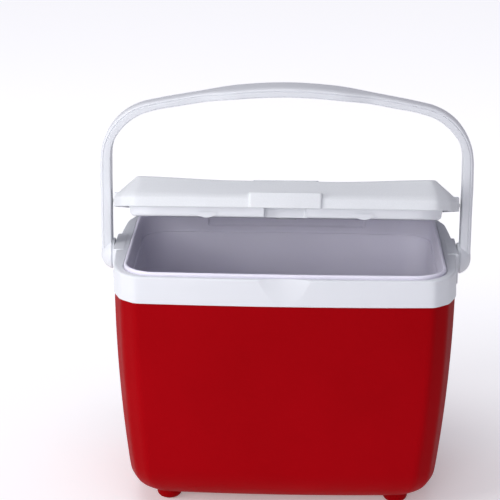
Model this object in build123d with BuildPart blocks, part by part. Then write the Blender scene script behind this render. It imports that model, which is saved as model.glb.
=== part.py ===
from build123d import *
import math
import os

os.makedirs("parts", exist_ok=True)

# ---------------------------------------------------------------------------
# Small hand-held insulated cooler: double-wall tub, white collar and liner,
# foam-filled lid on two rear hinges, and one bail handle on two side pivots.
# Millimetres.  +Z up, +X to the right, -Y is the front (lid tab side).
# The floor under the four feet is Z = 0.
# ---------------------------------------------------------------------------

# ---- driving dimensions ----
DY = -3.6             # moves the tub so that the origin is under the centre of the whole box
Z_PIVOT = 227.2       # handle pivot above the floor
Z_BODY = 5.2          # underside of the tub
Z_SEAM = 212.3        # joint line between the red shell and the white collar
Z_RIM = 237.8         # top face of the collar
Z_LIP = 240.9         # top of the liner's bead
WALL = 2.6            # shell wall
# outline of the tub at the seam: half sizes at the front middle, the three
# corner points A, B, C, and the side middle
FRONT = 114.4
SIDE = 160.6
AX, AY = 136.0, 110.6
BX, BY = 149.6, 98.6
CX, CY = 157.0, 78.0
PROUD = 0.6           # the collar stands this much outside the shell
# liner
LIN_X, LIN_Y, LIN_BOW, LIN_R = 145.2, 103.4, 2.8, 28.0
LIN_WALL = 2.2
Z_STEP = 218.8        # ledge round the liner
Z_FLOOR = 26.0        # inside floor of the liner
# lid, closed position
Y_HINGE, Z_HINGE = 118.4, 238.6
LID_OPEN = 16.0       # how far the lid stands open at rest, degrees
Z_SKIRT = 238.4       # bottom edge of the lid's skirt
Z_TOP = 263.2         # top of the lid
BEVEL = 24.0          # how far the bevel runs in
HINGE_X = 85.0
KNUCKLE_R, PIN_R = 4.2, 2.0
# handle
ARM_IN, ARM_OUT = 166.0, 176.4
HUB_R = 15.6
PAD_X = 163.4
STUD_R = 5.0
# feet
FOOT_X, FOOT_Y, FOOT_R = 108.5, 57.0, 11.8


def level(h):
    """Horizontal plane of the tub at height h."""
    return Plane((0, DY, h))


# the lid's own plane: origin on the hinge axis, tilted by the opening angle
_o = math.radians(LID_OPEN)
LID = Plane(
    origin=(0, Y_HINGE + DY, Z_HINGE),
    x_dir=(1, 0, 0),
    z_dir=(0, math.sin(_o), math.cos(_o)),
)


def lid_level(h):
    """Plane of the lid that is at height h when the lid is closed."""
    return LID.offset(h - Z_HINGE)


def taper(z):
    """How far the shell's wall leans in at height z."""
    u = max(0.0, Z_SEAM - z)
    return 0.01275 * u + 3.19e-4 * u * u


def bowl(z, start, height, run):
    """Extra inset of the rounded bottom edge."""
    if z >= start:
        return 0.0
    k = min(1.0, (start - z) / height)
    return run * (1.0 - math.sqrt(max(0.0, 1.0 - k * k)))


def ring(plane, tx, ty, rel=1.0, radii=(12.0, 20.0, 40.0), ax=0.85, shift=0.0):
    """Closed outline of the tub, drawn in by tx at the sides and ty front and rear."""
    a = (AX - ax * tx, AY - ty)
    b = (BX - 0.93 * tx, BY - 0.90 * ty * rel)
    c = (CX - tx, CY - 0.72 * ty * rel)
    f, s = FRONT - ty, SIDE - tx
    with BuildSketch(plane) as sk:
        with BuildLine():
            ThreePointArc((-a[0], shift - a[1]), (0, shift - f), (a[0], shift - a[1]))
            Line((a[0], shift - a[1]), (b[0], shift - b[1]))
            Line((b[0], shift - b[1]), (c[0], shift - c[1]))
            ThreePointArc((c[0], shift - c[1]), (s, shift), (c[0], shift + c[1]))
            Line((c[0], shift + c[1]), (b[0], shift + b[1]))
            Line((b[0], shift + b[1]), (a[0], shift + a[1]))
            ThreePointArc((a[0], shift + a[1]), (0, shift + f), (-a[0], shift + a[1]))
            Line((-a[0], shift + a[1]), (-b[0], shift + b[1]))
            Line((-b[0], shift + b[1]), (-c[0], shift + c[1]))
            ThreePointArc((-c[0], shift + c[1]), (-s, shift), (-c[0], shift - c[1]))
            Line((-c[0], shift - c[1]), (-b[0], shift - b[1]))
            Line((-b[0], shift - b[1]), (-a[0], shift - a[1]))
        make_face()
        va = sk.vertices().filter_by(lambda v: abs(abs(v.X) - a[0]) < 0.05)
        fillet(va, radius=radii[0])
        vb = sk.vertices().filter_by(lambda v: abs(abs(v.X) - b[0]) < 0.05)
        fillet(vb, radius=radii[1])
        vc = sk.vertices().filter_by(lambda v: abs(abs(v.X) - c[0]) < 0.05)
        fillet(vc, radius=radii[2])
    return sk.sketch


def tub_section(z, wall=0.0):
    """Outline of the shell's outside at height z, or wall mm inside it."""
    t = taper(z)
    bx, by = bowl(z, 35, 30, 30), bowl(z, 45, 40, 48)
    k = max(0.35, 1.0 - by / 80.0)
    return ring(level(z), t + bx + wall, t + by + wall,
                radii=(12 * k + by * 0.1, 20 * k, 40 * k * k))


TUB_Z = (Z_SEAM, 180.0, 150.0, 120.0, 95.0, 72.0, 55.0, 44.0, 35.0, 27.0, 20.0, 14.5, 10.5, 7.6, 6.0, Z_BODY)


def box_at(plane, w, d, h, x=0.0, y=0.0, r=0.0):
    """Prism w by d on a plane, centred on x, y there, h tall."""
    with BuildPart() as b:
        with BuildSketch(plane) as s:
            with Locations((x, y)):
                if r:
                    RectangleRounded(w, d, r)
                else:
                    Rectangle(w, d)
        extrude(s.sketch, amount=h, dir=plane.z_dir)
    return b.part


def liner_outline(plane, grow, shift=0.0, radius=None):
    """Outline of the liner's mouth, grow mm outside its inner wall."""
    x, y = LIN_X + grow, LIN_Y + grow
    r = (LIN_R + grow) if radius is None else radius
    with BuildSketch(plane) as sk:
        with BuildLine():
            ThreePointArc((-x, shift - y), (0, shift - y - LIN_BOW), (x, shift - y))
            Line((x, shift - y), (x, shift + y))
            ThreePointArc((x, shift + y), (0, shift + y + LIN_BOW), (-x, shift + y))
            Line((-x, shift + y), (-x, shift - y))
        make_face()
        fillet(sk.vertices(), radius=r)
    return sk.sketch


# ---------------------------------------------------------------------------
# outer shell: red moulded tub with an inset tongue under the collar
# ---------------------------------------------------------------------------
with BuildPart() as shell_outside:
    loft([tub_section(z) for z in reversed(TUB_Z)], ruled=True)

with BuildPart() as shell_inside:
    loft([tub_section(z, WALL) for z in (9.5, 13.0, 20.0, 30.0, 45.0, 75.0, 120.0, 203.0)], ruled=True)

with BuildPart() as outer_shell:
    add(shell_outside.part)
    extrude(ring(level(Z_SEAM), 2.9, 2.9, radii=(10, 18, 38)), amount=16.2, dir=(0, 0, 1))
    # no tongue behind the handle pads
    for sx in (-1, 1):
        add(box_at(level(Z_SEAM), 20, 58, 20, x=sx * (SIDE - 4)), mode=Mode.SUBTRACT)
    add(shell_inside.part, mode=Mode.SUBTRACT)
    extrude(ring(level(202.5), 4.4, 4.4, radii=(9.5, 17, 37)), amount=30, dir=(0, 0, 1), mode=Mode.SUBTRACT)
    extrude(liner_outline(level(202.5), LIN_WALL + 0.2), amount=30, dir=(0, 0, 1), mode=Mode.SUBTRACT)
    # bosses for the four feet and the foam filling hole
    for sx in (-1, 1):
        for sy in (-1, 1):
            with BuildSketch(level(8.6)) as boss:
                with Locations((sx * FOOT_X, sy * FOOT_Y)):
                    Circle(FOOT_R + 2.4)
            extrude(boss.sketch, amount=7.2, dir=(0, 0, 1))
            with BuildSketch(level(0)) as pocket:
                with Locations((sx * FOOT_X, sy * FOOT_Y)):
                    Circle(FOOT_R + 0.15)
            extrude(pocket.sketch, amount=12.2, dir=(0, 0, 1), mode=Mode.SUBTRACT)
            with BuildSketch(level(0)) as stem:
                with Locations((sx * FOOT_X, sy * FOOT_Y)):
                    Circle(3.05)
            extrude(stem.sketch, amount=18, dir=(0, 0, 1), mode=Mode.SUBTRACT)
    with BuildSketch(level(0)) as fill_hole:
        Circle(9.05)
    extrude(fill_hole.sketch, amount=30, dir=(0, 0, 1), mode=Mode.SUBTRACT)
    # the tongue is left out behind the thumb scoop
    add(box_at(level(Z_SEAM - 0.1), 66, 16, 20, y=-(FRONT - 4)), mode=Mode.SUBTRACT)
outer_shell.part.label = "outer_shell"
export_step(outer_shell.part, "parts/outer_shell.step")

# ---------------------------------------------------------------------------
# feet: push-in domed feet, and the plug of the foam filling hole
# ---------------------------------------------------------------------------
for fname, sx, sy in (
    ("foot_front_left", -1, -1),
    ("foot_front_right", 1, -1),
    ("foot_rear_left", -1, 1),
    ("foot_rear_right", 1, 1),
):
    fx, fy = sx * FOOT_X, sy * FOOT_Y + DY
    with BuildPart() as foot:
        with BuildSketch(Plane((fx, fy, 0), x_dir=(1, 0, 0), z_dir=(0, -1, 0))) as half:
            with BuildLine():
                Polyline((0, 0), (5.6, 0))
                ThreePointArc((5.6, 0), (9.9, 1.9), (FOOT_R, 6.2))
                Polyline((FOOT_R, 6.2), (FOOT_R, 12.1), (2.95, 12.1), (2.95, 17.0), (2.0, 19.0), (0, 19.0), (0, 0))
            make_face()
        revolve(half.sketch, axis=Axis((fx, fy, 0), (0, 0, 1)), revolution_arc=360)
    foot.part.label = fname
    export_step(foot.part, "parts/" + fname + ".step")

with BuildPart() as foam_fill_plug:
    with BuildSketch(level(Z_BODY - 1.4)) as cap:
        Circle(12.5)
    extrude(cap.sketch, amount=1.35, dir=(0, 0, 1))
    chamfer(foam_fill_plug.faces().sort_by(Axis.Z)[0].edges(), length=0.6)
    with BuildSketch(level(Z_BODY - 0.2)) as stem:
        Circle(8.95)
    extrude(stem.sketch, amount=5.0, dir=(0, 0, 1))
foam_fill_plug.part.label = "foam_fill_plug"
export_step(foam_fill_plug.part, "parts/foam_fill_plug.step")

# ---------------------------------------------------------------------------
# inner liner: wide mouth for the lid's plug, ledge, drafted walls, round floor
# ---------------------------------------------------------------------------
with BuildPart() as liner_inside:
    loft([liner_outline(level(Z_STEP), -0.6), liner_outline(level(Z_LIP + 2), 0.05)])
    loft([liner_outline(level(Z_FLOOR), -18.0, radius=22.0), liner_outline(level(Z_STEP + 0.5), -2.2, radius=26.0)])
    fillet(liner_inside.faces().sort_by(Axis.Z)[0].edges(), radius=13.0)

with BuildPart() as liner_outside:
    loft([liner_outline(level(Z_STEP - 2.2), LIN_WALL), liner_outline(level(Z_LIP - 2.4), LIN_WALL)])
    loft([liner_outline(level(Z_FLOOR - LIN_WALL), -18.0 + LIN_WALL, radius=24.0),
          liner_outline(level(Z_STEP - 2.2), LIN_WALL, radius=LIN_R + LIN_WALL)])
    fillet(liner_outside.faces().sort_by(Axis.Z)[0].edges(), radius=15.0)

with BuildPart() as inner_liner:
    add(liner_outside.part)
    # bead of the lip
    extrude(liner_outline(level(236.2), 3.2), amount=Z_LIP - 236.2, dir=(0, 0, 1))
    fillet(inner_liner.faces().sort_by(Axis.Z)[-1].outer_wire().edges(), radius=1.7)
    add(liner_inside.part, mode=Mode.SUBTRACT)
    fillet(inner_liner.edges().filter_by_position(Axis.Z, Z_LIP - 0.05, Z_LIP + 0.05).group_by(Axis.Z)[-1]
           .filter_by(lambda e: e.bounding_box().min.Y > -LIN_Y - LIN_BOW - 1.2 + DY and e.bounding_box().max.Y < LIN_Y + LIN_BOW + 1.2 + DY
                      and e.bounding_box().max.X < LIN_X + 0.6 and e.bounding_box().min.X > -LIN_X - 0.6), radius=1.2)
    # shallow shelf pressed into the rear wall just under the lip
    add(box_at(Plane((0, DY + LIN_Y + LIN_BOW - 0.8, 230.5), x_dir=(1, 0, 0), z_dir=(0, 1, 0)), 158, 8.6, 1.9, r=2.4), mode=Mode.SUBTRACT)
inner_liner.part.label = "inner_liner"
export_step(inner_liner.part, "parts/inner_liner.step")
print("liner", inner_liner.part.volume, len(inner_liner.part.solids()))

# ---------------------------------------------------------------------------
# collar: white ring that joins shell and liner, with pivot pads, scoop, knuckles
# ---------------------------------------------------------------------------
with BuildPart() as rim_collar:
    loft([ring(level(Z_SEAM), -PROUD - 0.4, -PROUD - 0.4), ring(level(Z_RIM), -PROUD + 0.2, -PROUD + 0.2)])
    fillet(rim_collar.faces().sort_by(Axis.Z)[-1].edges(), radius=1.8)
    # inside of the skirt
    skirt_cut = ring(level(Z_SEAM - 1), 2.5, 2.5, radii=(10.5, 18, 38))
    with BuildPart(mode=Mode.PRIVATE) as hollow:
        extrude(skirt_cut, amount=229.2 - Z_SEAM + 1, dir=(0, 0, 1))
        add(box_at(level(Z_SEAM - 2), 60, 14, 30, y=-(FRONT - 5)), mode=Mode.SUBTRACT)
    add(hollow.part, mode=Mode.SUBTRACT)
    # pads that carry the handle
    for sx in (-1, 1):
        add(box_at(Plane((sx * 151.0, DY, (Z_SEAM + 238.4) / 2), x_dir=(0, 1, 0), z_dir=(sx, 0, 0)), 54, 238.4 - Z_SEAM, PAD_X - 151.0))
        add(box_at(Plane((sx * 160.9, DY, 213.5), x_dir=(0, 1, 0), z_dir=(sx, 0, 0)), 54, 9.4, PAD_X - 160.9))
    chamfer(rim_collar.edges().filter_by(Axis.Z).filter_by(lambda e: abs(abs(e.center().X) - PAD_X) < 0.01), length=1.2)
    # opening for the liner, and the groove round its bead
    extrude(liner_outline(level(Z_SEAM - 8), LIN_WALL + 0.15), amount=40, dir=(0, 0, 1), mode=Mode.SUBTRACT)
    extrude(liner_outline(level(236.05), 4.1), amount=8, dir=(0, 0, 1), mode=Mode.SUBTRACT)
    # thumb scoop: a slanting cylinder, deepest at the rim
    tilt = math.radians(10.0)
    scoop_r = 86.0
    with BuildPart(mode=Mode.PRIVATE) as scoop:
        with BuildSketch(Plane(origin=(0, DY - (FRONT + PROUD) - scoop_r * math.cos(tilt) + 0.1, 216.6 + scoop_r * math.sin(tilt)), x_dir=(1, 0, 0), z_dir=(0, math.sin(tilt), math.cos(tilt)))) as sc:
            Circle(scoop_r)
        extrude(sc.sketch, amount=70, both=True)
    add(scoop.part, mode=Mode.SUBTRACT)
    # stud sockets, stepped from the inside
    for sx in (-1, 1):
        for r, x0, x1 in ((STUD_R, 150.0, PAD_X + 1), (7.1, 149.0, 155.2)):
            with BuildSketch(Plane((sx * x0, DY, Z_PIVOT), x_dir=(0, 1, 0), z_dir=(sx, 0, 0))) as bore:
                Circle(r)
            extrude(bore.sketch, amount=x1 - x0, dir=(sx, 0, 0), mode=Mode.SUBTRACT)
    # hinge knuckles
    for sx in (-1, 1):
        for side in (-1, 1):
            x0 = sx * HINGE_X + side * 10.2
            with BuildSketch(Plane((x0 - 3.8, Y_HINGE + DY, Z_HINGE), x_dir=(0, 1, 0), z_dir=(1, 0, 0))) as ear:
                Circle(KNUCKLE_R)
                with BuildLine() as web:
                    Polyline((-1.0, -KNUCKLE_R + 0.1), (-7.4, -9.5), (-7.4, -0.8), (-KNUCKLE_R + 0.6, -0.8), (0, 0), (-1.0, -KNUCKLE_R + 0.1))
                make_face()
            extrude(ear.sketch, amount=7.6, dir=(1, 0, 0))
    for sx in (-1, 1):
        with BuildSketch(Plane((sx * HINGE_X - 20, Y_HINGE + DY, Z_HINGE), x_dir=(0, 1, 0), z_dir=(1, 0, 0))) as pin_hole:
            Circle(PIN_R + 0.05)
        extrude(pin_hole.sketch, amount=40, dir=(1, 0, 0), mode=Mode.SUBTRACT)
rim_collar.part.label = "rim_collar"
export_step(rim_collar.part, "parts/rim_collar.step")
print("collar", rim_collar.part.volume, len(rim_collar.part.solids()))

# ---------------------------------------------------------------------------
# foam between shell and liner
# ---------------------------------------------------------------------------
with BuildPart() as liner_clear:
    loft([liner_outline(level(Z_STEP - 2.3), LIN_WALL + 0.15), liner_outline(level(Z_RIM), LIN_WALL + 0.15)])
    loft([liner_outline(level(Z_FLOOR - LIN_WALL - 0.15), -18.0 + LIN_WALL + 0.15, radius=24.0),
          liner_outline(level(Z_STEP - 2.3), LIN_WALL + 0.15, radius=LIN_R + LIN_WALL)])
    fillet(liner_clear.faces().sort_by(Axis.Z)[0].edges(), radius=14.6)

with BuildPart() as body_foam:
    loft([tub_section(z, WALL + 0.2) for z in (9.7, 13.0, 20.0, 30.0, 45.0, 75.0, 120.0, 202.4)], ruled=True)
    add(liner_clear.part, mode=Mode.SUBTRACT)
    for sx in (-1, 1):
        for sy in (-1, 1):
            with BuildSketch(level(5)) as boss:
                with Locations((sx * FOOT_X, sy * FOOT_Y)):
                    Circle(FOOT_R + 2.6)
            extrude(boss.sketch, amount=15.0, dir=(0, 0, 1), mode=Mode.SUBTRACT)
    with BuildSketch(level(5)) as fill:
        Circle(9.3)
    extrude(fill.sketch, amount=6, dir=(0, 0, 1), mode=Mode.SUBTRACT)
body_foam.part.label = "body_foam"
export_step(body_foam.part, "parts/body_foam.step")
print("foam", body_foam.part.volume, len(body_foam.part.solids()))

# ---------------------------------------------------------------------------
# pivot studs of the handle
# ---------------------------------------------------------------------------
for sname, sx in (("pivot_stud_left", -1), ("pivot_stud_right", 1)):
    with BuildPart() as pivot_stud:
        with BuildSketch(Plane((sx * 151.2, DY, Z_PIVOT), x_dir=(0, 1, 0), z_dir=(sx, 0, 0))) as head:
            Circle(6.9)
        extrude(head.sketch, amount=3.8, dir=(sx, 0, 0))
        with BuildSketch(Plane((sx * 151.2, DY, Z_PIVOT), x_dir=(0, 1, 0), z_dir=(sx, 0, 0))) as shank:
            Circle(STUD_R - 0.01)
        extrude(shank.sketch, amount=171.4 - 151.2, dir=(sx, 0, 0))
        chamfer(pivot_stud.faces().sort_by(Axis.X)[-1 if sx > 0 else 0].edges(), length=0.8)
    pivot_stud.part.label = sname
    export_step(pivot_stud.part, "parts/" + sname + ".step")

# ---------------------------------------------------------------------------
# bail handle
# ---------------------------------------------------------------------------
OUTER = [(0, 166.0), (35, 164.4), (67, 160.6), (99, 155.2), (124, 150.3), (137, 147.2), (148, 142.3),
         (156.5, 136.2), (163.6, 128.6), (169.6, 119.2), (173.6, 109.5), (175.8, 98.0), (ARM_OUT, 84.0)]
INNER = [(0, 157.0), (35, 155.6), (67, 152.2), (99, 146.6), (124, 141.9), (138, 137.2), (148.6, 130.2),
         (157.0, 121.4), (163.0, 111.4), (165.6, 101.0), (ARM_IN, 88.0)]
with BuildPart() as bail_handle:
    with BuildSketch(Plane((0, DY, Z_PIVOT), x_dir=(1, 0, 0), z_dir=(0, -1, 0))) as front_view:
        with BuildLine():
            top = Spline([(-x, z) for x, z in OUTER[::-1]] + OUTER[1:], tangents=[(0, 1), (0, -1)])
            Line((ARM_OUT, 84.0), (ARM_OUT, 0))
            Line((ARM_OUT, 0), (ARM_IN, 0))
            Line((ARM_IN, 0), (ARM_IN, 88.0))
            Spline(INNER[::-1] + [(-x, z) for x, z in INNER[1:]], tangents=[(0, 1), (0, -1)])
            Line((-ARM_IN, 88.0), (-ARM_IN, 0))
            Line((-ARM_IN, 0), (-ARM_OUT, 0))
            Line((-ARM_OUT, 0), (-ARM_OUT, 84.0))
        make_face()
    extrude(front_view.sketch, amount=17, both=True, dir=(0, 1, 0))
    # seen from above: arms 20 deep, grip 33 deep
    with BuildSketch(Plane((0, DY, 0))) as top_view:
        with BuildLine():
            Polyline((-190, -10), (-82, -10), (-50, -16.6), (50, -16.6), (82, -10), (190, -10),
                     (190, 10), (82, 10), (50, 16.6), (-50, 16.6), (-82, 10), (-190, 10), (-190, -10))
        make_face()
        fillet(top_view.vertices().filter_by(lambda v: abs(v.X) < 100), radius=60)
    extrude(top_view.sketch, amount=500, dir=(0, 0, 1), mode=Mode.INTERSECT)
    # hubs: flat inside, domed outside, with a thrust boss
    for sx in (-1, 1):
        with BuildSketch(Plane((sx * ARM_IN, DY, Z_PIVOT), x_dir=(sx, 0, 0), z_dir=(0, -1, 0))) as quarter:
            with BuildLine():
                Line((0, 0), (10.7, 0))
                ThreePointArc((10.7, 0), (7.9, 10.6), (0, HUB_R))
                Line((0, HUB_R), (0, 0))
            make_face()
        revolve(quarter.sketch, axis=Axis((0, DY, Z_PIVOT), (1, 0, 0)), revolution_arc=360)
        with BuildSketch(Plane((sx * (PAD_X + 0.35), DY, Z_PIVOT), x_dir=(0, 1, 0), z_dir=(sx, 0, 0))) as boss:
            Circle(14.2)
        extrude(boss.sketch, amount=ARM_IN - PAD_X, dir=(sx, 0, 0))
        with BuildSketch(Plane((sx * PAD_X, DY, Z_PIVOT), x_dir=(0, 1, 0), z_dir=(sx, 0, 0))) as bore:
            Circle(STUD_R + 0.05)
        extrude(bore.sketch, amount=171.7 - PAD_X, dir=(sx, 0, 0), mode=Mode.SUBTRACT)
bail_handle.part.label = "bail_handle"
export_step(bail_handle.part, "parts/bail_handle.step")
print("handle", bail_handle.part.volume, len(bail_handle.part.solids()))

# ---------------------------------------------------------------------------
# lid shell
# ---------------------------------------------------------------------------
YS = -Y_HINGE          # the tub's centre line in the lid's own plane


def lid_ring(h, t, drop=0.0):
    """Lid outline at closed height h, drawn in by t."""
    k = max(0.06, 1.0 - t / 25.5)
    a = (AX - 0.16 * t, AY - 0.98 * t)
    b = (BX - 0.62 * t, BY - 0.60 * t)
    c = (CX - 0.94 * t, CY - 0.06 * t + 0.10 * t)
    f, s = FRONT - t, SIDE - t * 1.02
    pts = [a, b, c]
    with BuildSketch(lid_level(h)) as sk:
        with BuildLine():
            ThreePointArc((-a[0], YS - a[1]), (0, YS - f), (a[0], YS - a[1]))
            Line((a[0], YS - a[1]), (b[0], YS - b[1]))
            Line((b[0], YS - b[1]), (c[0], YS - c[1]))
            ThreePointArc((c[0], YS - c[1]), (s, YS), (c[0], YS + c[1]))
            Line((c[0], YS + c[1]), (b[0], YS + b[1]))
            Line((b[0], YS + b[1]), (a[0], YS + a[1]))
            ThreePointArc((a[0], YS + a[1]), (0, YS + f), (-a[0], YS + a[1]))
            Line((-a[0], YS + a[1]), (-b[0], YS + b[1]))
            Line((-b[0], YS + b[1]), (-c[0], YS + c[1]))
            ThreePointArc((-c[0], YS + c[1]), (-s, YS), (-c[0], YS - c[1]))
            Line((-c[0], YS - c[1]), (-b[0], YS - b[1]))
            Line((-b[0], YS - b[1]), (-a[0], YS - a[1]))
        make_face()
        fillet(sk.vertices().filter_by(lambda v: abs(abs(v.X) - a[0]) < 0.02 and abs(abs(v.Y - YS) - a[1]) < 0.02), radius=12.0 * k)
        fillet(sk.vertices().filter_by(lambda v: abs(abs(v.X) - b[0]) < 0.02 and abs(abs(v.Y - YS) - b[1]) < 0.02), radius=20.0 * k)
        fillet(sk.vertices().filter_by(lambda v: abs(abs(v.X) - c[0]) < 0.02 and abs(abs(v.Y - YS) - c[1]) < 0.02), radius=40.0 * k)
    return sk.sketch


up = LID.z_dir
CROWN = ((246.4, 0.2), (249.2, 2.0), (253.0, 7.4), (257.6, 15.0), (261.3, 21.2), (Z_TOP, 24.6))
with BuildPart() as lid_outside:
    extrude(lid_ring(Z_SKIRT, 0.2), amount=246.4 - Z_SKIRT, dir=up)
    loft([lid_ring(h, t) for h, t in CROWN])
    fillet(lid_outside.edges().filter_by_position(Axis((0, Y_HINGE + DY, Z_HINGE), up), Z_TOP - Z_HINGE - 0.05, Z_TOP - Z_HINGE + 0.05), radius=1.6)
with BuildPart() as lid_inside:
    extrude(lid_ring(Z_SKIRT - 1, 2.8), amount=246.0 - Z_SKIRT + 1, dir=up)
    loft([lid_ring(246.0, 2.8), lid_ring(249.4, 7.4), lid_ring(258.8, 23.0), lid_ring(260.6, 25.0)], ruled=True)

with BuildPart() as lid_shell:
    add(lid_outside.part)
    add(lid_inside.part, mode=Mode.SUBTRACT)
    # lift tab on the front
    with BuildSketch(LID.offset(Z_SKIRT - Z_HINGE)) as tab:
        with Locations((0, YS - FRONT + 5.0)):
            RectangleRounded(66, 14.4, 2.2)
    extrude(tab.sketch, amount=14.0, dir=up)
    # raised plate on top, behind the tab
    with BuildSketch(lid_level(Z_TOP - 0.4)) as plate:
        with Locations((0, YS - 68)):
            RectangleRounded(60, 38, 5)
    extrude(plate.sketch, amount=1.3, dir=up)
    # ears at the sides that lock under the handle's arms
    for sx in (-1, 1):
        with BuildSketch(lid_level(Z_SKIRT)) as ear:
            with Locations((sx * 158.4, YS)):
                Rectangle(9.8, 42)
            chamfer(ear.vertices().sort_by(Axis.X)[-2:] if sx > 0 else ear.vertices().sort_by(Axis.X)[:2], length=3.0)
        extrude(ear.sketch, amount=14.0, dir=up)
        with BuildSketch(lid_level(Z_SKIRT + 4.0)) as nub:
            with Locations((sx * 162.8, YS)):
                RectangleRounded(4.8, 8, 1.2)
        extrude(nub.sketch, amount=3.8, dir=up)
    # clear the inside again after adding tab and ears
    add(lid_inside.part, mode=Mode.SUBTRACT)
    # rear notches for the collar's knuckles, then the lid's own knuckles
    for sx in (-1, 1):
        hx = sx * HINGE_X
        with BuildSketch(Plane(origin=(hx - 14.6, Y_HINGE + DY, Z_HINGE), x_dir=(0, 1, 0), z_dir=(1, 0, 0))) as notch:
            Circle(KNUCKLE_R + 0.6)
        extrude(notch.sketch, amount=29.2, dir=(1, 0, 0), mode=Mode.SUBTRACT)
        yd = LID.x_dir.cross(LID.z_dir) * -1
        with BuildSketch(Plane(origin=(hx - 5.8, Y_HINGE + DY, Z_HINGE), x_dir=yd, z_dir=(1, 0, 0))) as knuckle:
            Circle(KNUCKLE_R)
            with BuildLine():
                Polyline((0, KNUCKLE_R - 0.02), (-8.4, KNUCKLE_R - 0.02), (-8.4, 0.5), (0, 0.5), (0, KNUCKLE_R - 0.02))
            make_face()
        extrude(knuckle.sketch, amount=11.6, dir=(1, 0, 0))
        with BuildSketch(Plane(origin=(hx - 20, Y_HINGE + DY, Z_HINGE), x_dir=(0, 1, 0), z_dir=(1, 0, 0))) as pin_hole:
            Circle(PIN_R + 0.05)
        extrude(pin_hole.sketch, amount=40, dir=(1, 0, 0), mode=Mode.SUBTRACT)
lid_shell.part.label = "lid_shell"
export_step(lid_shell.part, "parts/lid_shell.step")
print("lid_shell", lid_shell.part.volume, len(lid_shell.part.solids()))

# ---------------------------------------------------------------------------
# lid pan: plate inside the skirt with the plug that drops into the liner
# ---------------------------------------------------------------------------


def plug_outline(h, grow):
    """Outline of the lid's plug at closed height h."""
    x, y = LIN_X - 1.3 + grow, LIN_Y - 1.3 + grow
    with BuildSketch(lid_level(h)) as sk:
        with BuildLine():
            ThreePointArc((-x, YS - y), (0, YS - y - LIN_BOW), (x, YS - y))
            Line((x, YS - y), (x, YS + y))
            ThreePointArc((x, YS + y), (0, YS + y + LIN_BOW), (-x, YS + y))
            Line((-x, YS + y), (-x, YS - y))
        make_face()
        fillet(sk.vertices(), radius=26.5 + grow)
    return sk.sketch


Z_PLUG = 230.0
with BuildPart() as lid_pan:
    extrude(lid_ring(241.4, 3.1), amount=2.2, dir=up)
    loft([plug_outline(Z_PLUG, -1.9), plug_outline(241.5, 0.0)])
    fillet(lid_pan.edges().filter_by_position(Axis((0, Y_HINGE + DY, Z_HINGE), up), Z_PLUG - Z_HINGE - 0.05, Z_PLUG - Z_HINGE + 0.05), radius=2.6)
    # snap nubs on the lower front edge
    for sx in (-1, 1):
        with BuildSketch(Plane(LID.from_local_coords((sx * 71.0, YS - 99.5, 241.0 - Z_HINGE)), x_dir=(1, 0, 0), z_dir=yd * -1)) as nub:
            with BuildLine():
                ThreePointArc((-9, -7.8), (0, -10.0), (9, -7.8))
                Line((9, -7.8), (-9, -7.8))
            make_face()
        extrude(nub.sketch, amount=4.4, dir=yd * -1)
    # finger recess in the front wall of the plug
    with BuildSketch(lid_level(Z_PLUG - 2)) as recess:
        with Locations((0, YS - LIN_Y - LIN_BOW + 5.5)):
            RectangleRounded(39, 14, 4)
    extrude(recess.sketch, amount=241.4 - Z_PLUG + 2 - 0.0, dir=up, mode=Mode.SUBTRACT)
    # hollow for the foam
    with BuildPart(mode=Mode.PRIVATE) as pocket:
        loft([plug_outline(Z_PLUG + 2.2, -4.4), plug_outline(244.0, -2.4)])
        with BuildSketch(lid_level(Z_PLUG)) as keep:
            with Locations((0, YS - LIN_Y - LIN_BOW + 5.5)):
                RectangleRounded(44, 19, 5)
        extrude(keep.sketch, amount=20, dir=up, mode=Mode.SUBTRACT)
    add(pocket.part, mode=Mode.SUBTRACT)
    with BuildSketch(lid_level(Z_PLUG - 1)) as fill:
        with Locations((0, YS + 20)):
            Circle(7.05)
    extrude(fill.sketch, amount=5, dir=up, mode=Mode.SUBTRACT)
lid_pan.part.label = "lid_pan"
export_step(lid_pan.part, "parts/lid_pan.step")
print("lid_pan", lid_pan.part.volume, len(lid_pan.part.solids()))

with BuildPart() as lid_fill_plug:
    with BuildSketch(lid_level(Z_PLUG - 1.2)) as cap:
        with Locations((0, YS + 20)):
            Circle(10.0)
    extrude(cap.sketch, amount=1.15, dir=up)
    with BuildSketch(lid_level(Z_PLUG - 0.2)) as stem:
        with Locations((0, YS + 20)):
            Circle(6.95)
    extrude(stem.sketch, amount=3.4, dir=up)
lid_fill_plug.part.label = "lid_fill_plug"
export_step(lid_fill_plug.part, "parts/lid_fill_plug.step")

with BuildPart() as lid_foam:
    extrude(lid_ring(243.7, 3.3), amount=246.0 - 243.7 + 0.02, dir=up)
    loft([lid_ring(246.0, 3.3), lid_ring(249.2, 7.9), lid_ring(258.5, 23.4), lid_ring(260.3, 25.4)], ruled=True)
    with BuildPart(mode=Mode.PRIVATE) as fillin:
        loft([plug_outline(Z_PLUG + 3.4, -4.7), plug_outline(244.0, -2.7)])
        with BuildSketch(lid_level(Z_PLUG)) as keep:
            with Locations((0, YS - LIN_Y - LIN_BOW + 5.5)):
                RectangleRounded(44.6, 19.6, 5)
        extrude(keep.sketch, amount=13.7, dir=up, mode=Mode.SUBTRACT)
    add(fillin.part)
lid_foam.part.label = "lid_foam"
export_step(lid_foam.part, "parts/lid_foam.step")
print("lid_foam", lid_foam.part.volume, len(lid_foam.part.solids()))

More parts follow.
